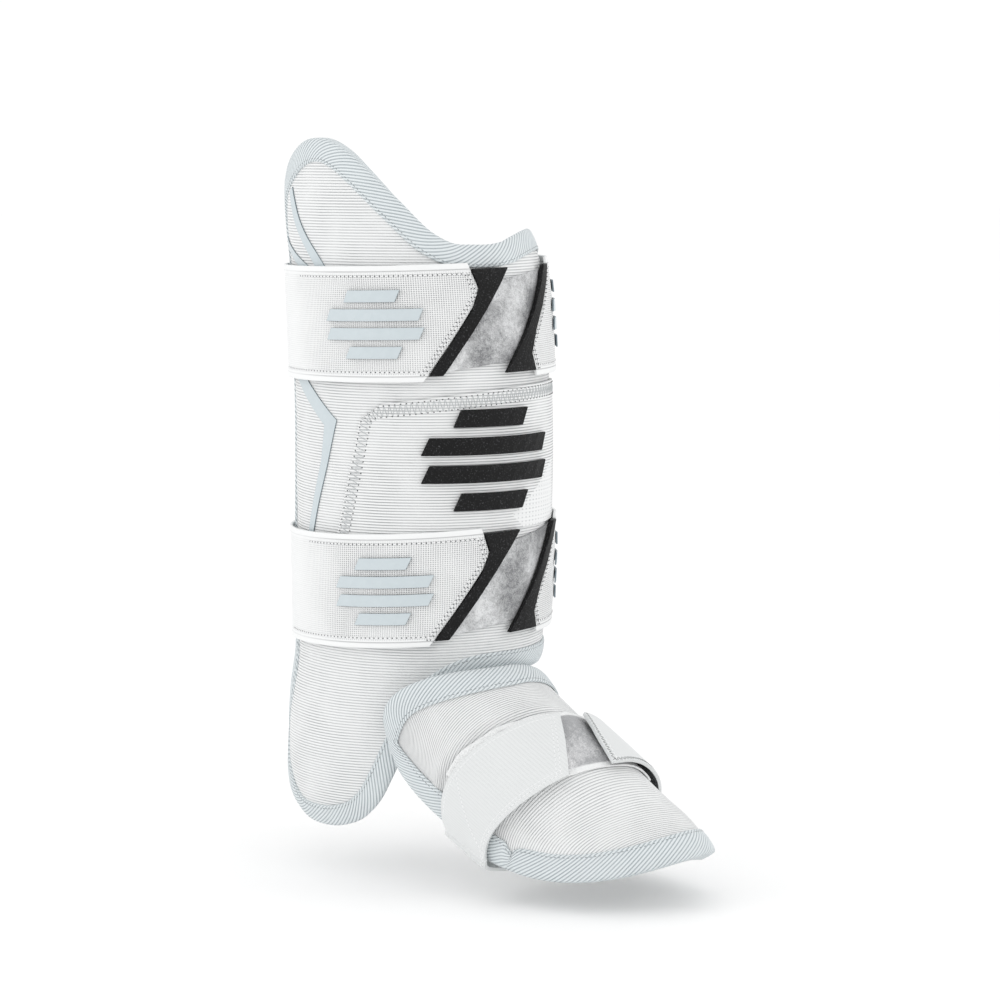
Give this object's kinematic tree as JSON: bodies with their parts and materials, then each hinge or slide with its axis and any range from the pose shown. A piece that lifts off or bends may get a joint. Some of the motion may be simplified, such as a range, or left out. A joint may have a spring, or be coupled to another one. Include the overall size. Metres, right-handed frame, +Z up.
{
  "type": "batter's leg guard",
  "caption": "Padded guard for a batter's left shin, inner ankle and instep, open behind, with elastic calf straps, a foot strap and slanted-bar badges.",
  "frame": {"origin": "on the axis of the wearer's leg, half way between the two calf straps", "axes": "+Z up along the leg towards the knee, -Y to the front of the shin and the toes, -X to the inner side of the leg, towards the other leg"},
  "size_m": [0.1507, 0.2595, 0.3867],
  "materials": {
    "padded_mesh": "ribbed knit over foam padding",
    "panel_mesh": "ribbed knit with stitched border",
    "edge_tape": "ribbed elastic binding",
    "webbing": "woven elastic",
    "loop_pile": "brushed loop pile with a silvery sheen",
    "moulded_black": "fine-grained matt moulding",
    "film": "thin satin film"
  },
  "bodies": {
    "root": {"shin_pad": "padded_mesh", "shin_tape": "edge_tape", "foot_pad": "padded_mesh", "foot_tape": "edge_tape", "front_panel": "panel_mesh", "stripe_middle": "film", "stripe_upper": "film", "stripe_corner": "film", "front_badge_1": "moulded_black", "front_badge_2": "moulded_black", "front_badge_3": "moulded_black", "front_badge_4": "moulded_black", "upper_strap": "webbing", "upper_strap_loop_field": "loop_pile", "upper_strap_trim_inner": "moulded_black", "upper_strap_badge_inner_1": "film", "upper_strap_badge_inner_2": "film", "upper_strap_badge_inner_3": "film", "upper_strap_badge_inner_4": "film", "upper_strap_trim_outer": "moulded_black", "upper_strap_badge_outer_1": "film", "upper_strap_badge_outer_2": "film", "upper_strap_badge_outer_3": "film", "upper_strap_badge_outer_4": "film", "lower_strap": "webbing", "lower_strap_loop_field": "loop_pile", "lower_strap_trim_inner": "moulded_black", "lower_strap_badge_inner_1": "film", "lower_strap_badge_inner_2": "film", "lower_strap_badge_inner_3": "film", "lower_strap_badge_inner_4": "film", "lower_strap_trim_outer": "moulded_black", "lower_strap_badge_outer_1": "film", "lower_strap_badge_outer_2": "film", "lower_strap_badge_outer_3": "film", "lower_strap_badge_outer_4": "film", "foot_strap": "webbing", "foot_loop_field": "loop_pile", "instep_web": "webbing"}
  },
  "joints": []
}
